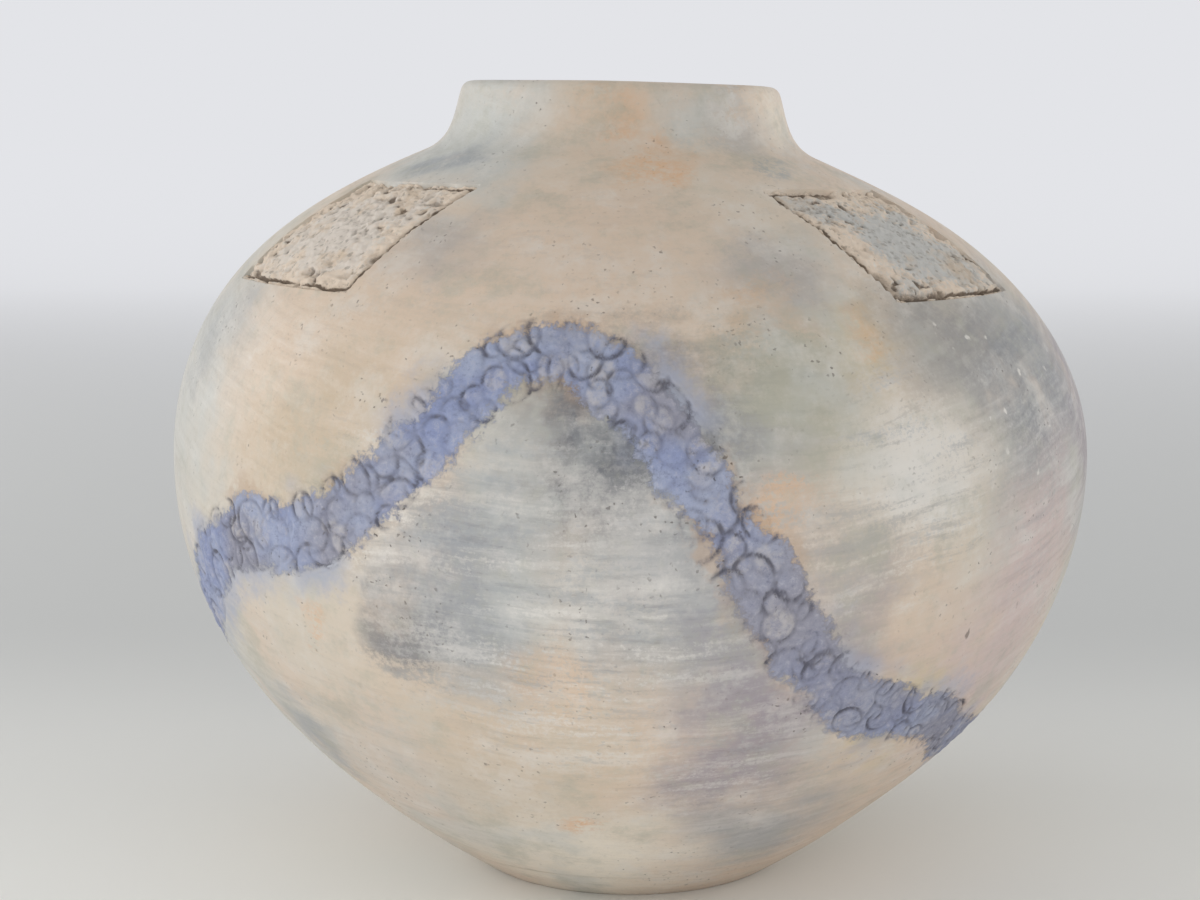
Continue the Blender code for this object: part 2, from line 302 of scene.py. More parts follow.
def wandering(travel, aside, seed):
    """Three sizes of noise along the band, different on its two sides."""
    row = np.where(aside > 0, 0.5, OTHER_SIDE + 0.5)
    share = travel / BAND_RUN
    return [patchy(share * cells, row + 2 * size, cells, seed + size)
            for size, cells in enumerate(EDGE_CELLS)]


def slip_inset(travel, aside):
    """How far inside the painted edge each point lies; negative outside."""
    broad, ragged, _ = wandering(travel, aside, seed=3)
    return SLIP_HALF_WIDTH + SLIP_WANDER * broad + SLIP_RAGGED * ragged - np.abs(aside)


def ribbon_inset(travel, aside):
    """How far inside the line where ribbon and wall cross each point lies."""
    _, ragged, crumbs = wandering(travel, aside, seed=13)
    return RIBBON_EDGE + RIBBON_RAGGED * ragged + RIBBON_CRUMBS * crumbs - np.abs(aside)


print(f"painted slip about {2 * SLIP_HALF_WIDTH / MM:.1f} mm wide, ribbon {2 * RIBBON_REACH / MM:.1f} mm")

# %% [markdown]
# ## Where the panels lie
# Four rough rectangles are let into the shoulder, two on the seen side and two behind. For any
# point of the wall, `panel_spot` gives its place from the panel's middle, across and along the
# shoulder. The border wavers, because the clay was torn up to a knife line.

# %% Places of the shoulder panels
PANEL_AZIMUTH, PANEL_SPLAY = np.radians([51.6, 4.5])
PANEL_WIDTH, PANEL_TAPER = 0.0435, 0.0025
BORDER_WAVER, BORDER_CELL = 0.0004, 0.004
NEAR_TURN = 1.5
PANEL_PLACES = {
    "shoulder_panel_front_left": (-1, 1, 40),
    "shoulder_panel_front_right": (1, 1, 50),
    "shoulder_panel_rear_left": (-1, -1, 60),
    "shoulder_panel_rear_right": (1, -1, 70),
}


def panel_middle(side, facing, rise):
    turned = PANEL_AZIMUTH + PANEL_SPLAY * (0.5 - rise)
    return side * (turned if facing > 0 else math.pi - turned)


def panel_half_width(rise):
    return (PANEL_WIDTH + PANEL_TAPER * (1.0 - 2.0 * rise)) / 2


def panel_spot(side, facing, azimuth, along):
    rise = (along - PANEL_FOOT) / PANEL_LENGTH
    away = (azimuth - panel_middle(side, facing, rise) + math.pi) % FULL_TURN - math.pi
    radius, _ = section(along, 0.0)
    across = radius * np.sin(np.clip(away, -NEAR_TURN, NEAR_TURN))
    return across, along - PANEL_FOOT - PANEL_LENGTH / 2


def panel_inset(across, along, seed):
    """How far inside a panel's wavering border a point lies; negative outside."""
    half_width = panel_half_width(along / PANEL_LENGTH + 0.5)
    inset = np.minimum(half_width - np.abs(across), PANEL_LENGTH / 2 - np.abs(along))
    u = across / BORDER_CELL + NOISE_MIDDLE
    v = along / BORDER_CELL + NOISE_MIDDLE
    waver = patchy(u, v, NOISE_CELLS, seed + 7)
    return inset + BORDER_WAVER * waver


print("panels:", ", ".join(PANEL_PLACES))

# %% [markdown]
# ## Rolling a grid into a shell
# A spin is the usual way to make a turned piece, but with many hundred fine steps it is slow. Here
# a flat grid is rolled up instead: its columns become steps round the axis, and its rows become the
# corners of the cross-section. Numpy moves all the points at once, and the seam is then welded.

# %% Shell helpers
WELD = 1e-6
SHELL_CREASE, TORN_CREASE = np.radians([40, 80])


def read_points(data):
    flat = np.empty(len(data.vertices) * 3)
    data.vertices.foreach_get("co", flat)
    return flat.reshape(-1, 3)


def write_points(data, points):
    data.vertices.foreach_set("co", points.ravel())
    data.update()


def write_layer(data, name, values):
    data.attributes.new(name, "FLOAT", "POINT").data.foreach_set("value", values)


def flat_grid(name, columns, rows):
    """A unit grid, and the place of each point in it from -0.5 to 0.5."""
    mesh = bmesh.new()
    bmesh.ops.create_grid(mesh, x_segments=columns, y_segments=rows, size=0.5)
    data = bpy.data.meshes.new(name)
    mesh.to_mesh(data)
    mesh.free()
    return data, read_points(data)


def closed_piece(data, crease_angle):
    """Weld the seams of a rolled grid, point its faces outwards and make it an object."""
    mesh = bmesh.new()
    mesh.from_mesh(data)
    bmesh.ops.remove_doubles(mesh, verts=mesh.verts, dist=WELD)
    bmesh.ops.recalc_face_normals(mesh, faces=mesh.faces)
    open_edges = sum(not edge.is_manifold for edge in mesh.edges)
    mesh.to_mesh(data)
    mesh.free()
    data.shade_smooth()
    data.set_sharp_from_angle(angle=crease_angle)
    piece = bpy.data.objects.new(data.name, data)
    bpy.context.scene.collection.objects.link(piece)
    print(f"{data.name}: {len(data.polygons)} faces, {open_edges} open edges")
    return piece


# %% [markdown]
# ## Sinking the wall under its inlays
# The wall isn't cut where a panel or the slip lies. It dips under them, over a millimetre at a
# panel and three at the slip, so the inlay's own uneven surface comes out of it along a natural,
# ragged line. How near a point is to the slip is kept as a layer, in millimetres, because the
# clay beside the slip is stained.

# %% Dips under the inlays
POCKET_DEPTH, POCKET_START, POCKET_FULL = 0.0034, -0.0001, 0.001
CHANNEL_DEPTH, CHANNEL_START, CHANNEL_FULL = 0.0019, 0.0003, 0.0034


def wall_dip(azimuth, along):
    """Depth of the wall's dip at each point, and how far the point is inside the painted slip."""
    travel, aside = band_spot(azimuth, along)
    dip = CHANNEL_DEPTH * ease(ribbon_inset(travel, aside), CHANNEL_START, CHANNEL_FULL)
    for side, facing, seed in PANEL_PLACES.values():
        inside = panel_inset(*panel_spot(side, facing, azimuth, along), seed)
        dip = np.maximum(dip, POCKET_DEPTH * ease(inside, POCKET_START, POCKET_FULL))
    return dip, slip_inset(travel, aside)


# %% [markdown]
# ## Wall sections
# Each section is a closed loop of corners: up the outside in one-millimetre steps and back down the
# inside in coarser ones. A corner is written as its place along the wall and its depth. The flat
# top and bottom of the base disc aren't on the wall, so their corners give radius and height.

# %% Turned sections
TURN_STEPS = 640
OUTER_STEP = 0.001
INNER_STEP = 0.005
FAR_FROM_SLIP = -50.0


def steps_between(start, end, step):
    return np.linspace(start, end, max(2, math.ceil(abs(end - start) / step)) + 1)


def wall_rows(along, depth):
    return np.stack(np.broadcast_arrays(along, depth), axis=1)


def wall_section(name, loop):
    """Roll a closed loop of (along, depth) corners round the axis."""
    corners = np.concatenate([loop, loop[:1]])
    data, grid = flat_grid(name, TURN_STEPS, len(corners) - 1)
    row = np.rint((grid[:, 1] + 0.5) * (len(corners) - 1)).astype(int)
    along, depth = corners[row].T
    azimuth = grid[:, 0] * FULL_TURN
    outer = (depth == 0.0) & (along < CREASE)
    dip, slip = wall_dip(azimuth, along)
    write_points(data, on_wall(azimuth, along, depth + np.where(outer, dip, 0.0)))
    write_layer(data, "slip", np.where(outer, slip / MM, FAR_FROM_SLIP))
    write_layer(data, "inside", ease(depth, 0.5 * RIM_WALL, RIM_WALL))
    return closed_piece(data, SHELL_CREASE)


disc_edge = float(np.interp(FLOOR_THICKNESS, line[:, 1], line_along))
lower_part = slice(0, CURVE_STEPS + 1)
inner_heights = line[lower_part, 1] + WALL * ways[lower_part, 0]
bowl_foot = float(np.interp(FLOOR_THICKNESS, inner_heights, line_along[lower_part]))

lower_bowl = wall_section("lower_bowl_skin", np.concatenate([
    wall_rows(steps_between(disc_edge, BELLY, OUTER_STEP), 0.0),
    wall_rows(steps_between(BELLY, bowl_foot, INNER_STEP), WALL)]))
upper_dome = wall_section("upper_dome_skin", np.concatenate([
    wall_rows(steps_between(BELLY, CREASE, OUTER_STEP), 0.0),
    wall_rows(steps_between(CREASE, BELLY, INNER_STEP), WALL)]))

# %% [markdown]
# ## The collar and its lip
# The lip is a half round across the wall's thickness, wiped smooth with a wet leather. It is part
# of the same loop: the outline is carried on past the rim, so the arc is only a few more corners.

# %% Neck collar
LIP_STEPS = 12
COLLAR_STEP, COLLAR_INNER_STEP = 0.0008, 0.00125
lip_angles = np.linspace(0.0, math.pi, LIP_STEPS + 1)[1:-1]
collar_inside = steps_between(RIM, CREASE, COLLAR_INNER_STEP)
neck_collar = wall_section("neck_collar_skin", np.concatenate([
    wall_rows(steps_between(CREASE, RIM, COLLAR_STEP), 0.0),
    wall_rows(RIM + RIM_WALL / 2 * np.sin(lip_angles), RIM_WALL / 2 * (1 - np.cos(lip_angles))),
    wall_rows(collar_inside, np.interp(collar_inside, [CREASE, RIM], [WALL, RIM_WALL]))]))

# %% [markdown]
# ## The base disc
# The pot stands on a flat disc of clay. Its rolled edge follows the wall, and its flat faces run in
# to the axis, where the grid's first and last rows close into single points.

# %% Base disc
edge_radius, edge_height = section(steps_between(0.0, disc_edge, OUTER_STEP), 0.0)
disc_radii = np.concatenate([[0.0, FOOT_RADIUS / 2], edge_radius, [FOOT_RADIUS / 2, 0.0]])
disc_heights = np.concatenate([[0.0, 0.0], edge_height, [FLOOR_THICKNESS, FLOOR_THICKNESS]])
disc_data, disc_grid = flat_grid("base_disc_skin", TURN_STEPS, len(disc_radii) - 1)
disc_row = np.rint((disc_grid[:, 1] + 0.5) * (len(disc_radii) - 1)).astype(int)
disc_azimuth = disc_grid[:, 0] * FULL_TURN
disc_ring = disc_radii[disc_row]
write_points(disc_data, np.stack([disc_ring * np.sin(disc_azimuth), -disc_ring * np.cos(disc_azimuth),
                                  disc_heights[disc_row]], axis=1))
write_layer(disc_data, "slip", np.full(len(disc_row), FAR_FROM_SLIP))
write_layer(disc_data, "inside", (disc_row >= len(disc_radii) - 2).astype(float))
base_disc = closed_piece(disc_data, SHELL_CREASE)

# %% [markdown]
# ## The stamped ribbon of slip
# The band's cross-section is a thin closed loop: a finely divided top and a plain back. It is rolled
# once round the pot and led along the route. Grooves and crumbs push the top in and out, and along
# its margins the top slides under the wall at a slope so slight that no line shows.

# %% Slip band
BAND_STEPS = 1900
BAND_COLUMNS = 48
BAND_BACK = 0.003
BAND_PROUD = 0.00003
MARGIN_START, MARGIN_FALL = 0.0005, 0.06
GROOVE_DEPTH, GROOVE_START, GROOVE_FULL = 0.0008, 0.0002, 0.0018
CRUMB_HEIGHT, CRUMB_FULL = 0.00009, 0.0025
band_across = np.concatenate([np.linspace(RIBBON_REACH, -RIBBON_REACH, BAND_COLUMNS + 1),
                              [-RIBBON_REACH, RIBBON_REACH, RIBBON_REACH]])
band_data, band_grid = flat_grid("slip_band_relief", BAND_STEPS, len(band_across) - 1)
band_row = np.rint((band_grid[:, 1] + 0.5) * (len(band_across) - 1)).astype(int)
band_aside = band_across[band_row]
band_top = (band_row <= BAND_COLUMNS) | (band_row == len(band_across) - 1)
band_azimuth = band_grid[:, 0] * FULL_TURN
band_level, band_way = band_route(band_azimuth)
travelled = band_travel(band_azimuth)


def band_noise(cells_round, cell_width, seed):
    """Noise on the ribbon, with a number of cells round the pot and a width of cell across."""
    round_pot = travelled / BAND_RUN * cells_round
    return patchy(round_pot, band_aside / cell_width + NOISE_MIDDLE, cells_round, seed)


groove, bare = stamp_fields(travelled, band_aside)
inset = ribbon_inset(travelled, band_aside)
groove = groove * (0.75 + 0.25 * band_noise(900, 0.9 * MM, seed=7))
groove = groove * ease(inset, GROOVE_START, GROOVE_FULL)
crumbs = band_noise(620, 1.3 * MM, seed=8) + 0.6 * band_noise(1400, 0.6 * MM, seed=9)
surface = BAND_PROUD + CRUMB_HEIGHT * crumbs * ease(inset, 0.0, CRUMB_FULL) - GROOVE_DEPTH * groove
surface = surface - MARGIN_FALL * np.maximum(MARGIN_START - inset, 0.0)
aside_azimuth = band_azimuth - band_aside * np.sin(band_way) / BELLY_RADIUS
aside_along = band_level + band_aside * np.cos(band_way)
write_points(band_data, on_wall(aside_azimuth, aside_along, np.where(band_top, -surface, BAND_BACK)))
write_layer(band_data, "groove", groove)
write_layer(band_data, "bare", bare)
write_layer(band_data, "slip", slip_inset(travelled, band_aside) / MM)
write_layer(band_data, "inside", np.zeros(len(band_row)))
slip_band = closed_piece(band_data, TORN_CREASE)

# %% [markdown]
# ## Torn clay panels
# The panels are slabs of clay whose face was torn, not cut, so it is all ridges, nicks and crumbs,
# with deeper pits along the border, and lies about level with the wall. A grid is bent onto the
# shoulder and pushed in and out by several sizes of noise. A knife line runs round the border and is
# broken where the soft clay closed over it. It is crispest below and on the side towards its pair.

# %% Panel relief
PANEL_COLUMNS, PANEL_ROWS = 150, 126
PANEL_MARGIN = 0.0016
PANEL_BACK = 0.0046
TEAR_CELL, TEAR_SHIFT = 0.009, 20
FACE_DEPTH, TEAR_HEIGHT, PIT_DEPTH, NICK_DEPTH = 0.00045, 0.0009, 0.0011, 0.0006
KNIFE_LINE, KNIFE_WIDTH, KNIFE_DEPTH, KNIFE_BREAKS = 0.0009, 0.00045, 0.001, 18
BORDER_REACH = 0.0035
EDGE_DROP, EDGE_START, EDGE_FULL = 0.0022, -0.0001, 0.0013


def torn_face(across, along, inset, inner_side, seed):
    """Depth of the torn face, how dark its pits, nicks and knife line are painted as painted shade, and how
    raised it is.
    """
    u = across / TEAR_CELL + TEAR_SHIFT
    v = along / TEAR_CELL + TEAR_SHIFT

    def noise(u_cells, v_cells, number):
        return patchy(u_cells, v_cells, NOISE_CELLS, seed + number)

    lumps = noise(u, v, 0)
    drag = noise(u * 1.6 + v * 0.9, v * 3.1 - u * 0.8, 1)
    tears = 1.0 - 2.0 * np.abs(noise(u * 2.4 + 0.7 * lumps, v * 2.7 + 0.7 * drag, 2))
    crumbs = noise(u * 5.3, v * 5.6, 3)
    grit = noise(u * 11.0, v * 11.5, 4)
    border = np.exp(-np.maximum(inset, 0.0) / BORDER_REACH)
    pits = ease(noise(u * 3.6 + 5, v * 3.3 + 5, 5), 0.25, 0.75) * (0.25 + 0.75 * border)
    crowd = ease(noise(u * 1.1 + 8, v * 1.2 + 3, 9), -0.5, 0.4)
    nicks = crowd * ease(noise(u * 8.5 + 3, v * 7.0 + 9, 8), 0.3, 0.7)
    raised = 0.14 * lumps + 0.18 * drag + 0.2 * tears + 0.28 * crumbs + 0.24 * grit
    raised = raised * (0.8 + 0.3 * border) + 0.12 * border
    way_round = (np.arctan2(along, across) + math.pi) / FULL_TURN * KNIFE_BREAKS
    broken = ease(patchy(way_round, np.full_like(u, 0.5), KNIFE_BREAKS, seed + 6), -0.6, 0.3)
    inner = ease(across * inner_side, 0.0, PANEL_WIDTH / 3)
    crisp = np.maximum(inner, ease(-along, 0.0, PANEL_LENGTH / 3))
    cut = np.maximum(broken, inner * (0.8 + 0.3 * crumbs)) * (0.3 + 0.7 * crisp)
    knife = cut * np.exp(-(((inset - KNIFE_LINE) / KNIFE_WIDTH) ** 2))
    depth = FACE_DEPTH - TEAR_HEIGHT * raised + PIT_DEPTH * pits + NICK_DEPTH * nicks
    depth = depth + KNIFE_DEPTH * knife + EDGE_DROP * ease(-inset, EDGE_START, EDGE_FULL)
    # painted shade: the knife line and the nicks are marked to be painted dark
    shade = np.maximum(ease(knife, 0.1, 0.5), 0.8 * nicks)
    return depth, np.maximum(pits, shade), raised


def torn_panel(name, side, facing, seed):
    """One panel: a grid bent onto the shoulder, torn, and given a flat back."""
    mesh = bmesh.new()
    bmesh.ops.create_grid(mesh, x_segments=PANEL_COLUMNS, y_segments=PANEL_ROWS, size=0.5)
    backing = bmesh.ops.extrude_face_region(mesh, geom=mesh.faces[:])["geom"]
    back_corners = [item for item in backing if isinstance(item, bmesh.types.BMVert)]
    bmesh.ops.translate(mesh, verts=back_corners, vec=(0, 0, -1))
    data = bpy.data.meshes.new(name)
    mesh.to_mesh(data)
    mesh.free()
    grid = read_points(data)
    along = grid[:, 1] * (PANEL_LENGTH + 2 * PANEL_MARGIN)
    rise = along / PANEL_LENGTH + 0.5
    across = grid[:, 0] * 2 * (panel_half_width(rise) + PANEL_MARGIN)
    inset = panel_inset(across, along, seed)
    depth, darkened_hollows, raised = torn_face(across, along, inset, -side * facing, seed)
    depth = np.where(grid[:, 2] < -0.5, PANEL_BACK, depth)
    up_wall = PANEL_FOOT + rise * PANEL_LENGTH
    radius, _ = section(up_wall, 0.0)
    azimuth = panel_middle(side, facing, rise) + np.arcsin(across / radius)
    write_points(data, on_wall(azimuth, up_wall, depth))
    # this layer carries the painted shade of the pits, nicks and knife line
    write_layer(data, "darkened_hollows", darkened_hollows)
    write_layer(data, "raised", raised)
    write_layer(data, "inset", inset / MM)
    return closed_piece(data, TORN_CREASE)


panels = {node: torn_panel(node + "_torn", *place) for node, place in PANEL_PLACES.items()}

# %% [markdown]
# ## A small kit for materials
# Every finish below is made of nodes. These helpers add a node, set its inputs or join them to
# other sockets, and return the socket that the next step needs. Scales of noise count cells per
# metre, so a scale of 900 gives grains of about a millimetre.

# %% Material helpers
def tint(red, green, blue):
    """A colour as seen on screen (0 to 255), turned into the linear values that shaders take."""
    seen = np.array([red, green, blue]) / 255.0
    linear = np.where(seen <= 0.04045, seen / 12.92, ((seen + 0.055) / 1.055) ** 2.4)
    return (*map(float, linear), 1.0)


class Finish:
    """A material under construction."""

    def __init__(self, name):
        self.material = bpy.data.materials.new(name)
        self.material.use_nodes = True
        self.tree = self.material.node_tree
        self.shader = self.tree.nodes["Principled BSDF"]
        self.place = self.add("ShaderNodeTexCoord").outputs["Object"]

    def add(self, kind, inputs=None, **settings):
        node = self.tree.nodes.new(kind)
        for key, value in settings.items():
            setattr(node, key, value)
        for key, value in (inputs or {}).items():
            self.feed(node.inputs[key], value)
        return node

    def feed(self, socket, value):
        if isinstance(value, bpy.types.NodeSocket):
            self.tree.links.new(value, socket)
        else:
            socket.default_value = value

    def math(self, operation, first, second=0.0):
        return self.add("ShaderNodeMath", {0: first, 1: second}, operation=operation).outputs[0]

    def vector(self, operation, first, second=(0.0, 0.0, 0.0)):
        node = self.add("ShaderNodeVectorMath", {0: first, 1: second}, operation=operation)
        return node.outputs["Value" if operation == "DISTANCE" else "Vector"]

    def noise(self, vector, scale, detail=3.0, roughness=0.55):
        node = self.add("ShaderNodeTexNoise", {"Vector": vector, "Scale": scale, "Detail": detail,
                                               "Roughness": roughness})
        return node.outputs["Fac"]

    def shake(self, vector, scale, detail, amount):
        """Shift a place by noise, by up to about half the amount each way."""
        node = self.add("ShaderNodeTexNoise", {"Vector": vector, "Scale": scale, "Detail": detail})
        centred = self.vector("SUBTRACT", node.outputs["Color"], (0.5, 0.5, 0.5))
        return self.vector("ADD", vector, self.vector("MULTIPLY", centred, amount))

    def spots(self, vector, scale, size, share):
        """Scattered round spots of a size in cells; only a share of the cells holds one."""
        cells = self.add("ShaderNodeTexVoronoi", {"Vector": vector, "Scale": scale})
        chance = self.add("ShaderNodeSeparateColor", {0: cells.outputs["Color"]}).outputs[0]
        spot = self.span(cells.outputs["Distance"], size, size * 0.5)
        return self.math("MULTIPLY", spot, self.span(chance, 1.0 - share, 1.02 - share))

    def span(self, value, start, end, low=0.0, high=1.0):
        node = self.add("ShaderNodeMapRange", {0: value, 1: start, 2: end, 3: low, 4: high},
                        interpolation_type="SMOOTHSTEP")
        return node.outputs[0]

    def blend(self, share, first, second):
        node = self.add("ShaderNodeMix", {0: share, 6: first, 7: second}, data_type="RGBA")
        return node.outputs[2]

    def tinge(self, colour, field, start, end, share, smoke):
        """Mix a tint into a colour, by up to a share, as a field goes from start to end."""
        return self.blend(self.span(field, start, end, 0.0, share), colour, smoke)

    def layer(self, name):
        return self.add("ShaderNodeAttribute", attribute_name=name).outputs["Fac"]

    def dent(self, height, distance, strength, normal=None):
        inputs = {"Height": height, "Distance": distance, "Strength": strength}
        if normal:
            inputs["Normal"] = normal
        return self.add("ShaderNodeBump", inputs).outputs["Normal"]

    def complete(self, colour, roughness, specular, normal):
        """Feed the shader and hand over the material."""
        self.feed(self.shader.inputs["Base Color"], colour)
        self.feed(self.shader.inputs["Roughness"], roughness)
        self.feed(self.shader.inputs["Specular IOR Level"], specular)
        self.feed(self.shader.inputs["Normal"], normal)
        return self.material


# %% [markdown]
# ## Smoke clouds on burnished clay
# The pot was burnished, wrapped and fired in smoke, so its colour is cream and peach clay crossed by
# soft grey, blue-grey and mauve clouds. Each cloud is a ball in space with a frayed edge: where the
# ball meets the wall, its tint shows. A few clouds stand for light instead: two pale ones on the belly
# are painted highlights, the pale one at the foot is painted light, and the grey one in the left crease
# is painted shade. A cloud is listed by its name, its azimuth in degrees, its height and size in
# millimetres, its tint and how strongly the tint shows. Later clouds lie over earlier ones.

# %% Tints and clouds
CREAM = tint(205, 195, 179)
PEACH = tint(211, 191, 171)
TAN = tint(194, 176, 152)
STRAW = tint(204, 189, 155)
CHALK = tint(217, 213, 206)
PALE = tint(228, 219, 203)
ASH = tint(189, 191, 187)
OLIVE = tint(170, 169, 154)
SMOKE = tint(108, 110, 115)
BLUE_SMOKE = tint(150, 154, 158)
MAUVE = tint(154, 146, 152)
ROSE = tint(203, 184, 179)
RUST = tint(214, 173, 134)
GRIT = tint(70, 62, 58)
SOOT = tint(92, 84, 78)
STAIN = tint(178, 150, 124)
BLUE_WASH = tint(158, 165, 184)

SMOKE_CLOUDS = (
    ("left limb", -76, 112, 44, ASH, 0.8),
    ("lower left limb", -62, 52, 36, ASH, 0.7),
    ("left shoulder", -40, 122, 40, PEACH, 0.8),
    ("left front tan", -38, 110, 32, TAN, 1.0),
    ("lower left cream", -42, 66, 34, CREAM, 0.7),
    ("front shoulder", -4, 150, 34, PEACH, 0.8),
    ("lower front", -12, 46, 36, TAN, 0.45),
    ("right shoulder straw", 17, 138, 24, PEACH, 0.8),
    ("straw by the right panel", 28, 131, 13, STRAW, 0.8),
    ("olive left of the crest", -17, 126, 15, OLIVE, 0.5),
    ("grey on left shoulder", -27, 147, 14, BLUE_SMOKE, 0.5),
    ("grey beside left panel", -42, 163, 16, ASH, 0.8),
    ("grey under left panel", -66, 128, 16, BLUE_SMOKE, 0.55),
    ("grey on right shoulder", 20, 144, 16, BLUE_SMOKE, 0.6),
    ("olive right of the crest", 16, 121, 22, OLIVE, 0.9),
    ("smoke beyond right", 60, 114, 40, BLUE_SMOKE, 0.85),
    ("smoke under right panel", 44, 130, 24, SMOKE, 0.45),
    ("smoke right of front", 56, 116, 26, SMOKE, 0.35),
    ("mauve right limb", 76, 104, 30, MAUVE, 0.9),
    ("rose on the right", 57, 84, 26, ROSE, 0.85),
    ("rose low right", 52, 62, 28, ROSE, 0.85),
    ("smoke trailing right", 8, 103, 20, BLUE_SMOKE, 0.85),
    ("smoke under the crest", -2, 113, 27, SMOKE, 1.0),
    ("smudge trailing left", -16, 92, 19, BLUE_SMOKE, 0.8),
    ("smudge lower left", -20, 77, 20, BLUE_SMOKE, 0.85),
    ("small dark smudge", -26, 70, 10, SMOKE, 0.7),
    ("streaks below the middle", 4, 80, 24, BLUE_SMOKE, 0.6),
    ("grey between the bends", 15, 76, 26, BLUE_SMOKE, 0.75),
    ("chalk across the belly", 3, 90, 13, CHALK, 0.35),
    # the next two pale clouds on the belly are painted highlights: the lamps' reflections, painted as pale
    # clay
    ("painted highlight on the right", 31, 102, 17, CHALK, 0.95),
    ("painted highlight on the left", -28, 101, 11, CHALK, 0.9),
    ("olive beside the left highlight", -36, 99, 9, OLIVE, 0.6),
    ("mauve low right", 18, 60, 26, MAUVE, 0.9),
    ("straw low right", 38, 50, 14, STRAW, 0.9),
    ("mauve near the foot", 14, 42, 20, MAUVE, 0.85),
    ("smoke near the foot", 26, 24, 22, BLUE_SMOKE, 0.8),
    ("ash low left", -37, 38, 18, ASH, 0.75),
    ("smoke low left", -54, 40, 15, BLUE_SMOKE, 0.75),
    ("ash near the foot", -36, 22, 18, ASH, 0.6),
    # painted light: the foot is painted paler to stand in for light thrown up from the floor
    ("painted light at the foot", -8, 12, 30, PALE, 0.9),
    ("collar left", -58, 170, 26, ASH, 0.9),
    ("collar middle", -10, 170, 16, PEACH, 0.75),
    ("collar smoke", 20, 175, 12, ASH, 0.8),
    ("collar smoke right", 40, 170, 11, BLUE_SMOKE, 0.55),
    ("collar mottle", 36, 173, 6, CHALK, 0.7),
    ("collar right", 66, 171, 14, PALE, 0.7),
    # painted shade: the crease under the collar is painted grey on the left
    ("painted shade in the left crease", -46, 163, 8, BLUE_SMOKE, 0.8),
    ("smoke in the right crease", 38, 162, 5, BLUE_SMOKE, 0.8),
    ("rust under the collar", 6, 164, 9, RUST, 0.9),
    ("rust on the collar", -10, 173, 8, RUST, 0.55),
    ("rust at the belly", 18, 98, 4, RUST, 0.55),
    ("rust on the shoulder", 15, 136, 9, RUST, 0.4),
    ("rust by the panel", 30, 131, 7, RUST, 0.5),
    ("rust low left", -38, 66, 4, RUST, 0.5),
    ("rust down the front", -9, 68, 12, RUST, 0.35),
    ("rust near the foot", -10, 27, 5, RUST, 0.85),
    ("back smoke high", 160, 132, 40, SMOKE, 0.75),
    ("back peach", -140, 118, 48, PEACH, 0.7),
    ("back chalk", 175, 88, 28, CHALK, 0.7),
    ("back mauve", 128, 70, 34, MAUVE, 0.75),
    ("back smoke low", -120, 62, 30, BLUE_SMOKE, 0.75),
    ("back straw", 165, 42, 26, STRAW, 0.7),
    ("back olive", -165, 70, 24, OLIVE, 0.6),
    ("back rust", 140, 112, 6, RUST, 0.6),
    ("back collar smoke", 150, 172, 16, SMOKE, 0.7),
)


def cloud_centre(azimuth_degrees, height_mm):
    below_rim = line_along <= RIM
    along = np.interp(height_mm * MM, line[below_rim, 1], line_along[below_rim])
    return tuple(map(float, on_wall(np.radians([azimuth_degrees]), np.array([along]), np.zeros(1))[0]))


print("smoke clouds:", len(SMOKE_CLOUDS))

# %% [markdown]
# ## The burnished skin
# Burnishing leaves short strokes that run round the pot, so noise is stretched sideways, and the
# clouds fray along the strokes. They show most in a few zones, which are listed as the clouds are. A
# dry grain is added to the strokes, so that smoke ends in powder and not in brushed lines. Dark specks
# are burnt-out grit. Strokes and specks also dent the surface and change its gloss, as on fired clay.

# %% Smoke-fired ground
STROKE_SLOPE = 0.28
STROKE_ZONES = ((-6, 76, 40, 0.7), (31, 100, 24, 0.75), (-28, 99, 20, 0.7), (14, 45, 30, 0.5),
                (60, 96, 40, 0.4), (170, 84, 50, 0.7), (-120, 96, 40, 0.5))
FLECK_ZONE = (50, 121, 30, 0.8)
PIT_ZONE = (47, 60, 24, 1.0)
CLOUD_EDGE, CLOUD_CORE = 1.3, 0.2
CLAY_SPECULAR = 0.3


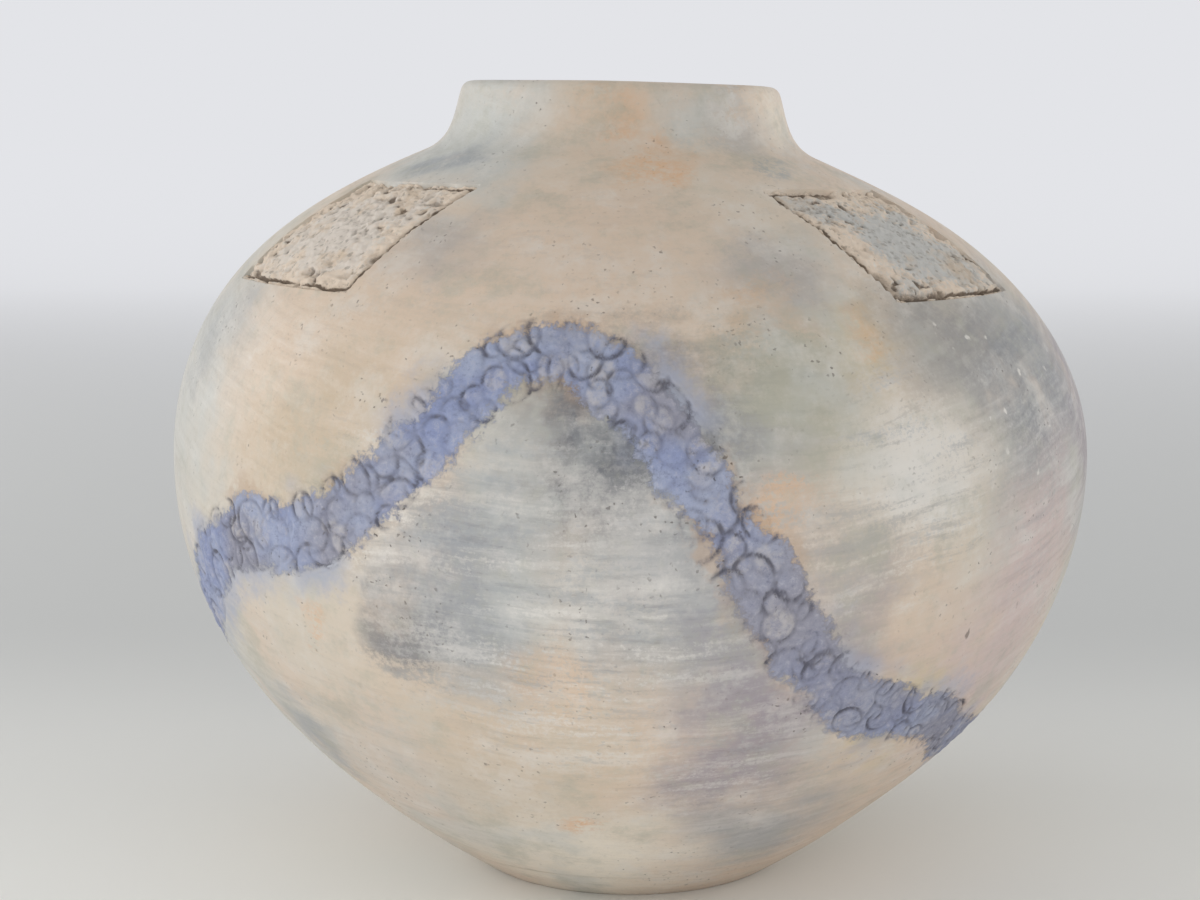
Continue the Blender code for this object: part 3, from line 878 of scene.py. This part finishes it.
class Clay(Finish):
    """Smoke-fired clay: a colour, its burnishing strokes and its specks."""

    def __init__(self, name):
        super().__init__(name)
        flowing = self.shake(self.place, 26.0, 2.0, (0.012, 0.012, 0.006))
        tip = (-math.atan(STROKE_SLOPE), 0.0, 0.0)
        tipped = self.add("ShaderNodeMapping", {"Vector": flowing, "Rotation": tip})
        strokes = self.vector("MULTIPLY", tipped.outputs[0], (30.0, 30.0, 220.0))
        dry = self.span(self.noise(self.place, 900.0, 4.0, 0.75), 0.3, 0.7, -0.1, 0.1)
        self.broad = self.math("ADD", self.noise(strokes, 1.0, 4.0, 0.6), dry)
        hair = self.noise(self.vector("MULTIPLY", strokes, (2.6, 2.6, 3.4)), 1.0, 4.0, 0.65)
        self.hair = self.math("ADD", hair, dry)
        self.mottle = self.noise(self.place, 210.0, 6.0, 0.7)
        self.uneven = self.shake(self.place, 700.0, 3.0, (0.002, 0.002, 0.002))
        self.specks = self.scattered_grit()

    def cloud(self, place, azimuth, height, size, share):
        away = self.vector("DISTANCE", place, cloud_centre(azimuth, height))
        return self.span(away, size * MM * CLOUD_EDGE, size * MM * CLOUD_CORE, 0.0, share)

    def scattered_grit(self):
        crowd = self.span(self.noise(self.place, 60.0, 5.0, 0.65), 0.46, 0.68, 0.1, 0.85)
        dust = self.math("MULTIPLY", self.spots(self.uneven, 1000.0, 0.36, 0.16), crowd)
        grains = self.math("MULTIPLY", self.spots(self.uneven, 420.0, 0.2, 0.06), crowd)
        pits = self.spots(self.uneven, 70.0, 0.055, 0.05)
        upright = self.vector("MULTIPLY", self.uneven, (1.0, 1.0, 0.4))
        dashes = self.spots(upright, 130.0, 0.11, 0.1)
        dashes = self.math("MULTIPLY", dashes, self.cloud(self.place, *PIT_ZONE))
        pits = self.math("MAXIMUM", pits, dashes)
        return self.math("MAXIMUM", dust, self.math("MAXIMUM", grains, pits))

    def smoked_colour(self):
        frayed = self.shake(self.place, 17.0, 3.0, (0.028, 0.028, 0.022))
        frayed = self.shake(frayed, 75.0, 6.0, (0.022, 0.022, 0.016))
        lift = self.add("ShaderNodeCombineXYZ", {2: self.span(self.broad, 0.25, 0.75, -0.006, 0.006)})
        frayed = self.vector("ADD", frayed, lift.outputs[0])
        colour = self.blend(self.span(self.noise(self.place, 14.0, 5.0), 0.36, 0.64), CREAM, PEACH)
        for _, azimuth, height, size, smoke, share in SMOKE_CLOUDS:
            colour = self.blend(self.cloud(frayed, azimuth, height, size, share), colour, smoke)
        patch = self.noise(self.place, 27.0, 5.0, 0.62)
        colour = self.tinge(colour, patch, 0.52, 0.68, 0.55, PEACH)
        colour = self.tinge(colour, patch, 0.47, 0.33, 0.55, ASH)
        blotch = self.noise(self.place, 60.0, 6.0, 0.72)
        colour = self.tinge(colour, blotch, 0.5, 0.68, 0.4, CHALK)
        colour = self.tinge(colour, blotch, 0.49, 0.32, 0.45, OLIVE)
        stroked = self.span(self.noise(self.place, 15.0, 2.0), 0.4, 0.65, 0.02, 0.14)
        for zone in STROKE_ZONES:
            stroked = self.math("MAXIMUM", stroked, self.cloud(frayed, *zone))
        pale = self.math("MULTIPLY", self.span(self.broad, 0.5, 0.68), stroked)
        colour = self.blend(pale, colour, CHALK)
        grey = self.math("MULTIPLY", self.span(self.broad, 0.48, 0.32), stroked)
        colour = self.blend(self.math("MULTIPLY", grey, 0.8), colour, BLUE_SMOKE)
        fine = self.math("ADD", self.math("MULTIPLY", stroked, 0.35), 0.05)
        colour = self.blend(self.math("MULTIPLY", self.span(self.hair, 0.53, 0.7), fine), colour, SMOKE)
        colour = self.blend(self.math("MULTIPLY", self.span(self.hair, 0.47, 0.3), fine), colour, CHALK)
        colour = self.tinge(colour, self.mottle, 0.5, 0.72, 0.22, CHALK)
        colour = self.tinge(colour, self.mottle, 0.48, 0.28, 0.25, OLIVE)
        flecks = self.spots(self.uneven, 260.0, 0.24, 0.3)
        flecks = self.math("MULTIPLY", flecks, self.cloud(frayed, *FLECK_ZONE))
        colour = self.blend(flecks, colour, CHALK)
        return self.blend(self.math("MULTIPLY", self.specks, 0.7), colour, GRIT)

    def stained(self, colour):
        """A thin blue wash and rusty stains, in places beside the slip."""
        near = self.math("ADD", self.layer("slip"), self.span(self.mottle, 0.25, 0.75, -3.0, 3.0))
        places = self.noise(self.place, 32.0, 3.0)
        washed = self.math("MULTIPLY", self.span(near, -9.0, 0.0), self.span(places, 0.5, 0.36, 0.0, 0.75))
        colour = self.blend(washed, colour, BLUE_WASH)
        rusty = self.math("MULTIPLY", self.span(near, -4.5, -0.5), self.span(places, 0.52, 0.64, 0.0, 0.5))
        return self.blend(rusty, colour, STAIN)

    def burnished_gloss(self):
        gloss = self.span(self.math("ADD", self.hair, self.mottle), 0.75, 1.25, 0.4, 0.62)
        return self.math("ADD", gloss, self.math("MULTIPLY", self.specks, 0.25))

    def burnished_dents(self):
        dent = self.dent(self.hair, 0.00016, 0.4)
        dent = self.dent(self.mottle, 0.00025, 0.35, dent)
        return self.dent(self.math("SUBTRACT", 1.0, self.specks), 0.00025, 0.5, dent)


# %% [markdown]
# ## The wall's material
# The outside takes the smoked ground with its stains. The inside of such a pot isn't burnished and
# keeps the smoke, so the clay is dark where the shell's layer says that it is inside.

# %% Burnished wall
INSIDE_SOOT = 0.85


def burnished_clay():
    clay = Clay("burnished_smoked_clay")
    colour = clay.stained(clay.smoked_colour())
    colour = clay.blend(clay.math("MULTIPLY", clay.layer("inside"), INSIDE_SOOT), colour, SOOT)
    return clay.complete(colour, clay.burnished_gloss(), CLAY_SPECULAR, clay.burnished_dents())


skin = burnished_clay()
for piece in (base_disc, lower_bowl, upper_dome, neck_collar):
    piece.data.materials.append(skin)
print("burnished clay:", len(skin.node_tree.nodes), "nodes")

# %% [markdown]
# ## Blue slip
# The slip is a matt periwinkle clay, greyer where smoke reached it, and it ends in powdery specks.
# Beyond them the ribbon shows the same smoked ground as the wall. Soot gathers in the grooves of
# the stamps, and inside some rings the slip has rubbed off and shows the pale body.

# %% Stamped blue slip
PERIWINKLE, PALE_BLUE = tint(137, 147, 181), tint(160, 168, 191)
SMOKED_BLUE, SMOKED_MAUVE = tint(148, 147, 157), tint(150, 149, 160)
LIGHT_GRAIN, DARK_GRAIN = tint(186, 185, 194), tint(104, 107, 128)
RUBBED_CLAY, PENCIL = tint(192, 187, 185), tint(80, 79, 90)
SMOKED_SLIP = (26, 74, 42, 0.65)
SLIP_ROUGHNESS = 0.78


def stamped_slip():
    clay = Clay("stamped_blue_slip")
    drift = clay.noise(clay.place, 62.0, 4.0, 0.6)
    blue = clay.blend(clay.span(drift, 0.36, 0.64), PERIWINKLE, PALE_BLUE)
    smoke = clay.noise(clay.place, 24.0, 4.0, 0.6)
    blue = clay.tinge(blue, smoke, 0.46, 0.62, 0.85, SMOKED_BLUE)
    blue = clay.blend(clay.cloud(clay.place, *SMOKED_SLIP), blue, SMOKED_MAUVE)
    grain = clay.noise(clay.place, 560.0, 6.0, 0.8)
    blue = clay.tinge(blue, grain, 0.5, 0.7, 0.6, LIGHT_GRAIN)
    blue = clay.tinge(blue, grain, 0.49, 0.3, 0.65, DARK_GRAIN)
    rubbed = clay.span(clay.noise(clay.place, 200.0, 5.0, 0.75), 0.42, 0.62)
    rubbed = clay.math("MULTIPLY", clay.layer("bare"), rubbed)
    blue = clay.blend(clay.math("MULTIPLY", rubbed, 0.7), blue, RUBBED_CLAY)
    powder = clay.math("ADD", clay.layer("slip"), clay.span(grain, 0.25, 0.75, -2.0, 2.0))
    powder = clay.math("ADD", powder, clay.span(drift, 0.3, 0.7, -1.4, 1.4))
    painted = clay.span(powder, -0.9, 1.1)
    colour = clay.blend(painted, clay.stained(clay.smoked_colour()), blue)
    pencil = clay.span(clay.math("ADD", grain, clay.noise(clay.place, 120.0, 3.0)), 0.75, 1.2, 0.35, 1.4)
    darkened_hollows = clay.math("MULTIPLY", clay.layer("groove"), pencil)
    colour = clay.tinge(colour, darkened_hollows, 0.05, 0.9, 0.85, PENCIL)
    colour = clay.blend(clay.math("MULTIPLY", clay.specks, 0.75), colour, GRIT)
    gloss = clay.burnished_gloss()
    matt = clay.math("SUBTRACT", SLIP_ROUGHNESS, gloss)
    gloss = clay.math("ADD", gloss, clay.math("MULTIPLY", painted, matt))
    crumbly = clay.math("MULTIPLY", grain, painted)
    dents = clay.dent(crumbly, 0.0005, 0.6, clay.burnished_dents())
    return clay.complete(colour, gloss, CLAY_SPECULAR, dents)


slip = stamped_slip()
band_data.materials.append(slip)
print("blue slip:", len(slip.node_tree.nodes), "nodes")

# %% [markdown]
# ## Torn clay
# Unburnished clay takes smoke unevenly: peach along the borders, a grey middle, pale chips and dark
# crumbs. Every pit, nick and the knife line is painted dark brown as painted shade, and the lowest
# parts of the torn face are painted darker, also as painted shade. The left panels are the paler ones.

# %% Torn panel clay
LEFT_MIDDLE, RIGHT_MIDDLE, PANEL_BORDER = tint(232, 222, 211), tint(206, 205, 201), tint(236, 219, 200)
WARM_PATCH, PALE_RIDGE, HOLLOW_SHADE = tint(218, 190, 156), tint(226, 217, 204), tint(126, 113, 99)
DARK_CRUMB, PALE_CHIP, BROWN_HOLLOW_SHADE = tint(122, 110, 97), tint(224, 220, 213), tint(92, 75, 58)
TORN_ROUGHNESS, TORN_SPECULAR = 0.9, 0.2


def torn_clay():
    finish = Finish("torn_panel_clay")
    patches = finish.noise(finish.place, 75.0, 5.0, 0.65)
    grain = finish.noise(finish.place, 520.0, 6.0, 0.8)
    middle = finish.math("ADD", finish.layer("inset"), finish.span(patches, 0.3, 0.7, -8.0, 8.0))
    middle = finish.math("ADD", middle, finish.span(grain, 0.3, 0.7, -4.0, 4.0))
    across_pot = finish.add("ShaderNodeSeparateXYZ", {0: finish.place}).outputs[0]
    smoked = finish.blend(finish.span(across_pot, -0.02, 0.02), LEFT_MIDDLE, RIGHT_MIDDLE)
    colour = finish.blend(finish.span(middle, 1.0, 9.0), PANEL_BORDER, smoked)
    colour = finish.tinge(colour, patches, 0.52, 0.66, 0.5, WARM_PATCH)
    height = finish.math("ADD", finish.layer("raised"), finish.span(grain, 0.25, 0.75, -0.7, 0.7))
    colour = finish.tinge(colour, height, 0.25, 1.0, 0.7, PALE_RIDGE)
    # painted shade: the lowest parts of the torn face are painted darker
    colour = finish.tinge(colour, height, 0.0, -0.9, 0.45, HOLLOW_SHADE)
    darkened_hollows = finish.math("MULTIPLY", finish.layer("darkened_hollows"), finish.span(grain, 0.25, 0.6, 0.6, 1.15))
    loose = finish.shake(finish.place, 500.0, 3.0, (0.002, 0.002, 0.002))
    crumbs = finish.math("MULTIPLY", finish.spots(loose, 700.0, 0.42, 0.4), 0.4)
    colour = finish.blend(crumbs, colour, DARK_CRUMB)
    chips = finish.math("MULTIPLY", finish.spots(loose, 380.0, 0.26, 0.14), 0.7)
    colour = finish.blend(chips, colour, PALE_CHIP)
    # painted shade: pits, nicks and the knife line are painted dark brown
    colour = finish.tinge(colour, darkened_hollows, 0.3, 0.9, 0.82, BROWN_HOLLOW_SHADE)
    dents = finish.dent(finish.noise(finish.place, 800.0, 6.0, 0.8), 0.0008, 0.8)
    return finish.complete(colour, TORN_ROUGHNESS, TORN_SPECULAR, dents)


torn = torn_clay()
for piece in panels.values():
    piece.data.materials.append(torn)
print("torn clay:", len(torn.node_tree.nodes), "nodes")

# %% [markdown]
# ## Taking the solids' places
# Each dressed piece stands for the solid it was made over: it rides on the root body, and the solid is
# hidden.

# %% Replace the solids
dressed = {"base_disc": base_disc, "lower_bowl": lower_bowl, "upper_dome": upper_dome,
           "neck_collar": neck_collar, "slip_band": slip_band, **panels}
for node, piece in dressed.items():
    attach(piece, "root")
    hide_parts(node)
print("dressed:", len(dressed), "pieces")

# %% [markdown]
# ## The studio
# The pot stands on a pale sweep of card that curves up behind it. The card is pale in front of the
# pot, painted greyer in the middle distance as painted shade, and palest far behind, where it glows by
# itself. Only the lens and reflections see it so. For other light it is plain white, and lights the belly
# well from below.

# %% Floor and backdrop
SWEEP_WIDTH = 8.0
SWEEP_FRONT, SWEEP_BACK, SWEEP_CURVE, SWEEP_WALL = -3.0, 1.9, 0.9, 2.0
SWEEP_STEPS = 24
CARD_NEAR, CARD_MIDDLE_SHADE, CARD_FAR = tint(238, 238, 234), tint(197, 198, 197), tint(227, 228, 232)
CARD_BOUNCE = tint(240, 240, 240)
NEAR_END, MIDDLE_START, MIDDLE_END, FAR_START = -0.08, 0.25, 0.1, 2.4
CARD_ROUGHNESS = 0.9


def grown_edge(mesh, edge, step):
    """Pull a strip out of an edge, and return the edge at its far side."""
    grown = bmesh.ops.extrude_edge_only(mesh, edges=[edge])["geom"]
    corners = [item for item in grown if isinstance(item, bmesh.types.BMVert)]
    bmesh.ops.translate(mesh, verts=corners, vec=step)
    return mesh.edges.get(corners)


sweep = bmesh.new()
front_corners = [sweep.verts.new((x, SWEEP_FRONT, 0.0)) for x in (-SWEEP_WIDTH / 2, SWEEP_WIDTH / 2)]
card_edge = sweep.edges.new(front_corners)
card_edge = grown_edge(sweep, card_edge, (0.0, SWEEP_BACK - SWEEP_FRONT, 0.0))
curve = bmesh.ops.spin(sweep, geom=[*card_edge.verts, card_edge], cent=(0, SWEEP_BACK, SWEEP_CURVE),
                       axis=(1, 0, 0), angle=math.pi / 2, steps=SWEEP_STEPS)["geom_last"]
wall_edge = next(item for item in curve if isinstance(item, bmesh.types.BMEdge))
grown_edge(sweep, wall_edge, (0.0, 0.0, SWEEP_WALL))
sweep_data = bpy.data.meshes.new("studio_sweep")
sweep.to_mesh(sweep_data)
sweep.free()
sweep_data.shade_smooth()
studio_sweep = bpy.data.objects.new("studio_sweep", sweep_data)
bpy.context.scene.collection.objects.link(studio_sweep)

card = Finish("pale_card")
across_floor = card.add("ShaderNodeSeparateXYZ", {0: card.place}).outputs[1]
far = card.span(across_floor, MIDDLE_END, FAR_START)
ray = card.add("ShaderNodeLightPath").outputs
mirrored = card.math("MAXIMUM", ray["Is Glossy Ray"], ray["Is Transmission Ray"])
seen = card.math("MAXIMUM", ray["Is Camera Ray"], mirrored)
# painted shade: the lens sees the white card greyer in the middle distance
floor = card.blend(card.span(across_floor, NEAR_END, MIDDLE_START), CARD_NEAR, CARD_MIDDLE_SHADE)
card.feed(card.shader.inputs["Base Color"], card.blend(seen, CARD_BOUNCE, floor))
card.shader.inputs["Roughness"].default_value = CARD_ROUGHNESS
haze = card.add("ShaderNodeEmission", {"Color": CARD_FAR})
veil = card.math("MULTIPLY", seen, far)
mixed = card.add("ShaderNodeMixShader", {0: veil, 1: card.shader.outputs[0], 2: haze.outputs[0]})
card.feed(card.tree.nodes["Material Output"].inputs["Surface"], mixed.outputs[0])
sweep_data.materials.append(card.material)
print("sweep:", len(sweep_data.polygons), "faces")

# %% [markdown]
# ## Light
# A pale sky does most of the work, so that the pot is evenly lit from the collar to the foot. Two large
# lamps stand beside the pot and a little behind it, the left one stronger, and give the form a soft
# turn. A small panel low in front, below the picture, lights the belly from below as a white card would.

# %% Lamps and sky
SKY_STRENGTH = 0.63
POT_MIDDLE = np.array([0.0, 0.0, 0.09])


def soft_lamp(name, place, size, power):
    lamp = bpy.data.lights.new(name, "AREA")
    lamp.size = size
    lamp.energy = power
    holder = bpy.data.objects.new(name, lamp)
    holder.location = place
    aim = POT_MIDDLE - np.array(place)
    tip = math.atan2(math.hypot(aim[0], aim[1]), -aim[2])
    holder.rotation_euler = (tip, 0.0, math.atan2(aim[0], -aim[1]) + math.pi)
    bpy.context.scene.collection.objects.link(holder)


soft_lamp("left_lamp", place=(-1.35, 0.3, 0.55), size=0.9, power=9.0)
soft_lamp("right_lamp", place=(1.45, 0.3, 0.5), size=0.8, power=6.0)
soft_lamp("floor_panel", place=(-0.05, -0.3, 0.01), size=0.3, power=0.4)
sky = bpy.data.worlds.new("studio_sky")
sky.use_nodes = True
sky.node_tree.nodes["Background"].inputs["Color"].default_value = (1.0, 1.0, 1.0, 1.0)
sky.node_tree.nodes["Background"].inputs["Strength"].default_value = SKY_STRENGTH
bpy.context.scene.world = sky
bpy.context.scene.view_settings.view_transform = "Standard"
print("sky strength", SKY_STRENGTH)

# %% [markdown]
# ## The camera
# The photograph was taken from close by, a little below the level of the rim, with the lens tipped
# down. The lens, the distance and the tilt come from fitting the turned outline to the pot's outline.

# %% Camera
PHOTO_WIDTH = 1200
SENSOR = 36.0
LENS_PIXELS = 2147.5
CAMERA_DISTANCE, CAMERA_HEIGHT, CAMERA_PITCH = 0.5, 0.1683, 0.144
AXIS_OFFSET_PIXELS = 29.7
view = bpy.data.cameras.new("photo_view")
view.sensor_fit = "HORIZONTAL"
view.sensor_width = SENSOR
view.lens = LENS_PIXELS * SENSOR / PHOTO_WIDTH
view.clip_start = 0.01
camera = bpy.data.objects.new("photo_view", view)
camera.location = (0.0, -CAMERA_DISTANCE, CAMERA_HEIGHT)
camera.rotation_euler = (math.pi / 2 - CAMERA_PITCH, 0.0, math.atan(AXIS_OFFSET_PIXELS / LENS_PIXELS))
bpy.context.scene.collection.objects.link(camera)
bpy.context.scene.camera = camera
print(f"lens {view.lens:.1f} mm")
